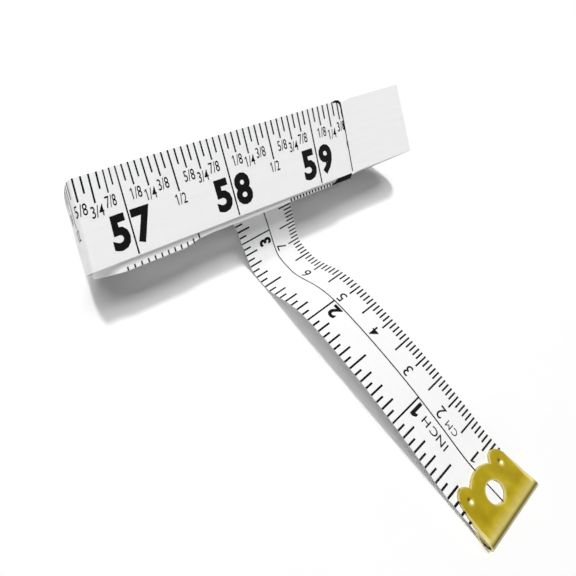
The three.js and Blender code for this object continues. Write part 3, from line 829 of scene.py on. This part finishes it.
def clip_object():
    """One sheet bent over the tape, with three lobes, a hole and a crimp dent in each outer lobe.

    Its own frame has X across the tape, Y from the tip towards the tape and Z up.
    """
    rows = [(-1, t) for t in np.linspace(1, 0, LOWER_ROWS + 1)]
    rows += [(0, a) for a in np.linspace(-math.pi / 2, math.pi / 2, FOLD_ROWS + 1)[1:-1]]
    rows += [(1, t) for t in np.linspace(0, 1, LEAF_ROWS + 1)]
    shares = [math.sin(math.pi / 2 * u) for u in np.linspace(-1, 1, CLIP_COLUMNS)]
    n, m = len(rows), len(shares)
    size = n * m
    layers = [BRASS_HALF, BRASS_HALF - CLIP_SHEET]
    places = [clip_profile(s, leaf, t, radius) for radius in layers for leaf, t in rows for s in shares]
    # Painted light on the brass: highlight strength and shade strength for each point, carried in a map's two
    # coordinates.
    wear = []
    for k, place in enumerate(places):
        leaf = rows[k % size // m][0]
        x, y, _ = place
        outline = min(leaf_end(x) - y if leaf else CROWN_FROM_TIP, clip_half(y) - abs(x))
        # Painted highlight along the outline, the edge of the hole and the near side of each dent.
        rim_highlight = RIM_HIGHLIGHT * math.exp(-max(outline, 0) / RIM_REACH)
        dent_shade = 0
        if leaf == 1:
            from_hole = max(hole_share(x, y) - 1, 0) * HOLE_HALF_LONG
            rim_highlight = max(rim_highlight, RIM_HIGHLIGHT * math.exp(-from_hole / RIM_REACH))
            if y < DENT_FROM_TIP:
                rim_highlight = max(rim_highlight, DENT_HIGHLIGHT * math.exp(-((dent_distance(x, y) / DENT_RADIUS) ** 4)))
            if k < size and dent_distance(x, y) < DENT_RADIUS:
                place[2] -= DENT_DEPTH * (1 + math.cos(math.pi * dent_distance(x, y) / DENT_RADIUS)) / 2
            # Painted shade in each dent, set off from its centre away from the tip.
            dent_shade = math.exp(-((dent_distance(x, y - DENT_RADIUS / 4) / (DENT_RADIUS / 2)) ** 4))
        wear.append((rim_highlight, DENT_SHADE * dent_shade))

    kept = []
    for i in range(n - 1):
        for j in range(m - 1):
            quad = (i * m + j, i * m + j + 1, (i + 1) * m + j + 1, (i + 1) * m + j)
            x, y, _ = np.mean([places[k] for k in quad], axis=0)
            if rows[i][0] != 1 or hole_share(x, y) > 1:
                kept.append(quad)
    sides = [(q[k], q[(k + 1) % 4]) for q in kept for k in range(4)]
    known = set(sides)
    border = [side for side in sides if (side[1], side[0]) not in known]
    for k in {k for side in border for k in side}:
        x, y, _ = places[k]
        if rows[k // m][0] == 1 and hole_share(x, y) < HOLE_SNAP:
            share = hole_share(x, y)
            for layer in (0, size):
                places[k + layer][0] = x / share
                places[k + layer][1] = HOLE_FROM_TIP + (y - HOLE_FROM_TIP) / share
            # Points on the edge of the hole get the full painted highlight and no painted shade.
            wear[k] = wear[k + size] = (RIM_HIGHLIGHT, 0)
    faces = kept + [tuple(k + size for k in reversed(q)) for q in kept]
    faces += [(b, a, a + size, b + size) for a, b in border]

    tip, along, across = tail_frame(TAIL)
    up = np.cross(across, -along)
    shifted = [(x + CLIP_OFF_CENTRE + CLIP_SKEW * y, y, z) for x, y, z in places]
    verts = [(tip + across * x - along * y + up * z) * MM for x, y, z in shifted]
    mesh = bpy.data.meshes.new("brass_clip")
    mesh.from_pydata([tuple(v) for v in verts], [], faces)
    layer = mesh.uv_layers.new(name="wear")
    for loop in mesh.loops:
        layer.data[loop.index].uv = wear[loop.vertex_index]
    mesh.polygons.foreach_set("use_smooth", [True] * len(mesh.polygons))
    mesh.set_sharp_from_angle(angle=SHARP_ANGLE)
    mesh.materials.append(BRASS)
    used = {k for face in faces for k in face}
    bm = bmesh.new()
    bm.from_mesh(mesh)
    bm.verts.ensure_lookup_table()
    bmesh.ops.delete(bm, geom=[v for v in bm.verts if v.index not in used], context="VERTS")
    bmesh.ops.recalc_face_normals(bm, faces=bm.faces[:])
    bm.to_mesh(mesh)
    bm.free()
    obj = linked("brass_clip", mesh)
    bevel = obj.modifiers.new("soft_edges", "BEVEL")
    bevel.width = CLIP_BEVEL * MM
    bevel.segments = 2
    bevel.limit_method = "ANGLE"
    bevel.angle_limit = SHARP_ANGLE
    return obj


brass = clip_object()
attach(brass, "tail_f")
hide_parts("brass_end")

# Stage, with its sizes in metres
PAPER_REACH, PAPER_FADE, TABLE_DROP = 1.5, (0.2, 0.45), 0.00002


def seen_directly(tree):
    """1 for what the camera sees itself, in metal or through glass, and 0 for light on other surfaces."""
    paths = tree.nodes.new("ShaderNodeLightPath")
    either, directly = (tree.nodes.new("ShaderNodeMath") for _ in range(2))
    either.operation = directly.operation = "MAXIMUM"
    tree.links.new(paths.outputs["Is Glossy Ray"], either.inputs[0])
    tree.links.new(paths.outputs["Is Transmission Ray"], either.inputs[1])
    tree.links.new(paths.outputs["Is Camera Ray"], directly.inputs[0])
    tree.links.new(either.outputs[0], directly.inputs[1])
    return directly.outputs[0]


def mix_shaders(tree, factor, first, second, output):
    node = tree.nodes.new("ShaderNodeMixShader")
    tree.links.new(factor, node.inputs["Fac"])
    tree.links.new(first.outputs[0], node.inputs[1])
    tree.links.new(second.outputs[0], node.inputs[2])
    tree.links.new(node.outputs[0], tree.nodes[output].inputs["Surface"])


def paper_material():
    """White paper that keeps the shadow near the object and is plain white background further away."""
    material, tree, shader = node_material("white_paper")
    coords = tree.nodes.new("ShaderNodeTexCoord")
    grain = noise(tree, coords.outputs["Object"], scale=40)
    colour = ramp(tree, grain, [(0.3, (0.985, 0.985, 0.985)), (0.7, (1.0, 1.0, 1.0))])
    tree.links.new(colour, shader.inputs["Base Color"])
    shader.inputs["Roughness"].default_value = 0.9
    distance = tree.nodes.new("ShaderNodeVectorMath")
    distance.operation = "LENGTH"
    tree.links.new(coords.outputs["Object"], distance.inputs[0])
    fade = tree.nodes.new("ShaderNodeMapRange")
    fade.interpolation_type = "SMOOTHSTEP"
    fade.inputs["From Min"].default_value = PAPER_FADE[0]
    fade.inputs["From Max"].default_value = PAPER_FADE[1]
    tree.links.new(distance.outputs["Value"], fade.inputs["Value"])
    share = tree.nodes.new("ShaderNodeMath")
    share.operation = "MULTIPLY"
    tree.links.new(fade.outputs["Result"], share.inputs[0])
    tree.links.new(seen_directly(tree), share.inputs[1])
    white = tree.nodes.new("ShaderNodeEmission")
    mix_shaders(tree, share.outputs[0], shader, white, "Material Output")
    return material


corners = [(x * PAPER_REACH, y * PAPER_REACH, 0) for x, y in ((-1, -1), (1, -1), (1, 1), (-1, 1))]
table_mesh = bpy.data.meshes.new("table")
table_mesh.from_pydata(corners, [], [(0, 1, 2, 3)])
table_mesh.materials.append(paper_material())
table = linked("table", table_mesh)
table.location.z = -TABLE_DROP

world = bpy.data.worlds.new("studio")
bpy.context.scene.world = world
world.use_nodes = True
sky = world.node_tree
ambient = sky.nodes["Background"]
ambient.inputs["Color"].default_value = (1, 1, 1, 1)
ambient.inputs["Strength"].default_value = 0.1
backdrop = sky.nodes.new("ShaderNodeBackground")
backdrop.inputs["Color"].default_value = (1, 1, 1, 1)
backdrop.inputs["Strength"].default_value = 1.0
mix_shaders(sky, seen_directly(sky), ambient, backdrop, "World Output")


def soft_light(name, wide, deep, energy, location):
    data = bpy.data.lights.new(name, "AREA")
    data.shape = "RECTANGLE"
    data.size = wide
    data.size_y = deep
    data.energy = energy
    light = linked(name, data)
    light.location = location
    light.rotation_euler = (-light.location).to_track_quat("-Z", "Y").to_euler()


soft_light("key", wide=0.12, deep=0.12, energy=6.9, location=(0.0, 0.5, 1.07))
soft_light("overhead", wide=1.5, deep=0.45, energy=8.2, location=(0.0, 0.25, 1.17))
soft_light("fill", wide=0.8, deep=0.3, energy=2.9, location=(-0.4, -1.1, 0.24))

# Camera, with its focal length and optical centre in pixels of the photo
PHOTO_SIZE, SENSOR = 576, 36
FOCAL, CENTRE_X, CENTRE_Y = 293.5, 150.6, 281.1
eye = np.array([-55.8, -42.36, 65.83]) * MM
forward = unit(np.array([0.2596, 0.3544, -0.8983]))
down = np.array([-0.3715, -0.822, -0.4317])
down = unit(down - forward * (down @ forward))
right = np.cross(down, forward)
camera_data = bpy.data.cameras.new("camera")
camera_data.sensor_width = SENSOR
camera_data.lens = FOCAL / PHOTO_SIZE * SENSOR
camera_data.shift_x = (PHOTO_SIZE / 2 - CENTRE_X) / PHOTO_SIZE
camera_data.shift_y = (CENTRE_Y - PHOTO_SIZE / 2) / PHOTO_SIZE
camera_data.clip_start = 0.005
camera = linked("camera", camera_data)
axes = np.eye(4)
axes[:3, 0], axes[:3, 1], axes[:3, 2], axes[:3, 3] = right, -down, -forward, eye
camera.matrix_world = Matrix(axes.tolist())
bpy.context.scene.camera = camera

bpy.context.scene.view_settings.view_transform = "Standard"
